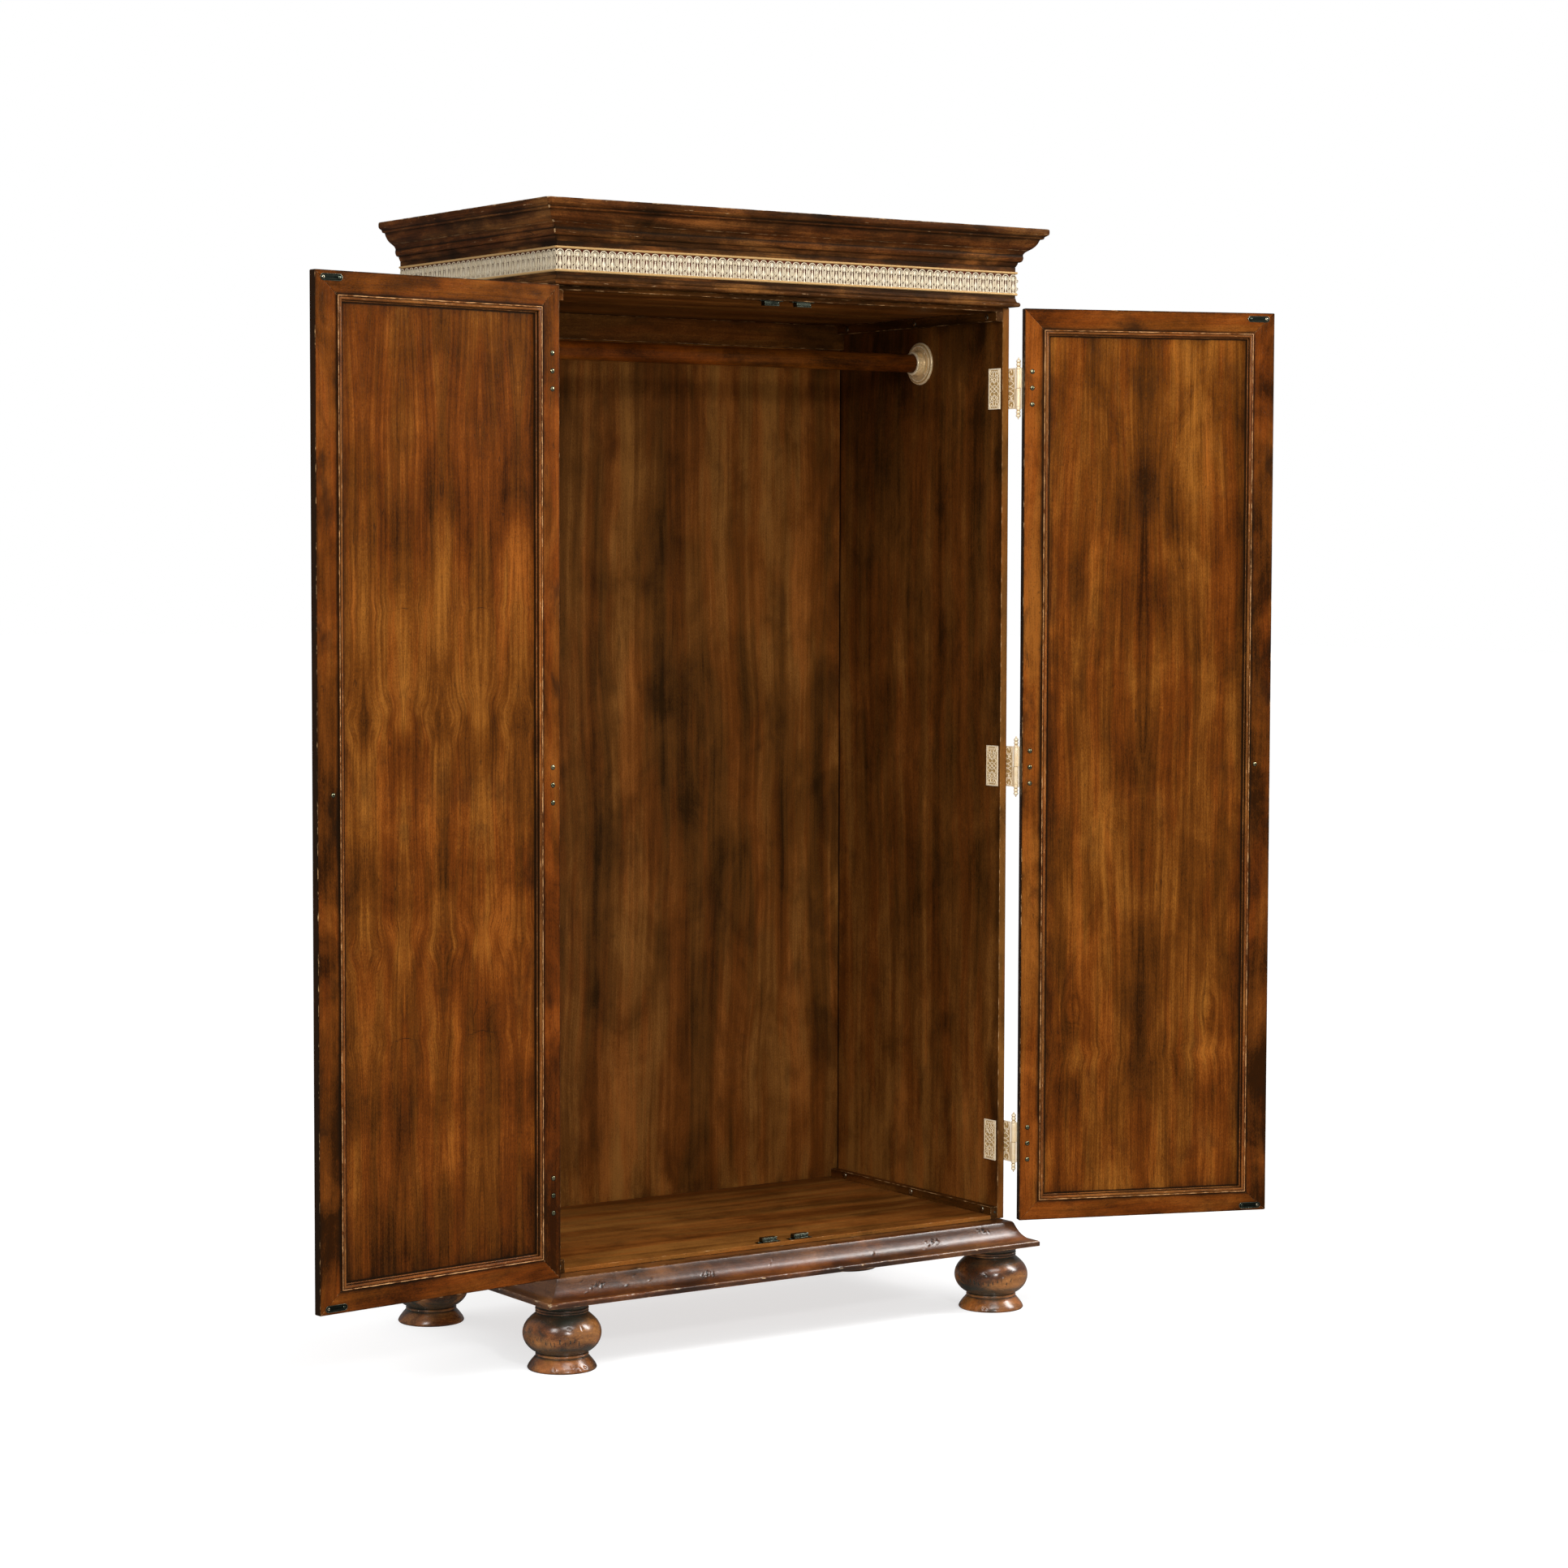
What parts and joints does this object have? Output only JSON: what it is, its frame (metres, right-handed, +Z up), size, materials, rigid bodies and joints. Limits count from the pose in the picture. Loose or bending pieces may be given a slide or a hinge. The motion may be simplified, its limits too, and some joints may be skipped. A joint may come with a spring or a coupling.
{
  "type": "two-door wardrobe",
  "caption": "Free-standing hinged-door wardrobe on turned bun feet, with a hanging rail, framed doors, a fretted frieze and a stepped cornice.",
  "frame": {"origin": "on the floor, under the middle of the open wardrobe's bounding box", "axes": "+Z up, -Y out of the open front, +X to the right of someone facing the front"},
  "size_m": [2.1398, 0.8272, 2.2],
  "materials": {
    "walnut": "satin antiqued polish",
    "dark_walnut": "satin antiqued polish, darkened",
    "cast_brass": "satin lacquered",
    "dark_bronze": "dark patinated"
  },
  "bodies": {
    "carcass": {"astragal": "dark_walnut", "back_panel": "walnut", "back_top_rail": "walnut", "base_back_rail": "dark_walnut", "base_moulding": "dark_walnut", "bun_foot_back_left": "dark_walnut", "bun_foot_back_right": "dark_walnut", "bun_foot_front_left": "dark_walnut", "bun_foot_front_right": "dark_walnut", "ceiling_board": "walnut", "ceiling_cleat_left": "dark_walnut", "ceiling_cleat_right": "dark_walnut", "cornice": "dark_walnut", "dust_board": "walnut", "floor_board": "walnut", "floor_cleat_left": "dark_walnut", "floor_cleat_right": "dark_walnut", "fret_front": "cast_brass", "fret_left": "cast_brass", "fret_right": "cast_brass", "frieze": "dark_walnut", "hanging_rod": "walnut", "hinge_left_bottom_carcass_leaf": "cast_brass", "hinge_left_middle_carcass_leaf": "cast_brass", "hinge_left_top_carcass_leaf": "cast_brass", "hinge_right_bottom_carcass_leaf": "cast_brass", "hinge_right_middle_carcass_leaf": "cast_brass", "hinge_right_top_carcass_leaf": "cast_brass", "magnetic_catch_left_bottom": "dark_bronze", "magnetic_catch_left_top": "dark_bronze", "magnetic_catch_right_bottom": "dark_bronze", "magnetic_catch_right_top": "dark_bronze", "rod_flange_left": "cast_brass", "rod_flange_right": "cast_brass", "side_panel_left": "walnut", "side_panel_right": "walnut"},
    "left_door": {"door_left_bottom_rail": "walnut", "door_left_hinge_stile": "walnut", "door_left_knob": "cast_brass", "door_left_lock_stile": "walnut", "door_left_moulding": "walnut", "door_left_panel": "walnut", "door_left_strike_bottom": "dark_bronze", "door_left_strike_top": "dark_bronze", "door_left_top_rail": "walnut", "hinge_left_bottom_door_leaf": "cast_brass", "hinge_left_middle_door_leaf": "cast_brass", "hinge_left_top_door_leaf": "cast_brass"},
    "right_door": {"door_right_bottom_rail": "walnut", "door_right_hinge_stile": "walnut", "door_right_knob": "cast_brass", "door_right_lock_stile": "walnut", "door_right_moulding": "walnut", "door_right_panel": "walnut", "door_right_strike_bottom": "dark_bronze", "door_right_strike_top": "dark_bronze", "door_right_top_rail": "walnut", "hinge_right_bottom_door_leaf": "cast_brass", "hinge_right_middle_door_leaf": "cast_brass", "hinge_right_top_door_leaf": "cast_brass"}
  },
  "joints": [
    {"name": "left_door_hinge", "type": "hinge", "parent": "carcass", "child": "left_door", "pos_m": [-0.53094, -0.20657, 0], "axis": [0, 0, -1], "range_deg": [-173.4, 91.6]},
    {"name": "right_door_hinge", "type": "hinge", "parent": "carcass", "child": "right_door", "pos_m": [0.56126, -0.20657, 0], "axis": [0, 0, 1], "range_deg": [-160.2, 104.8]}
  ]
}
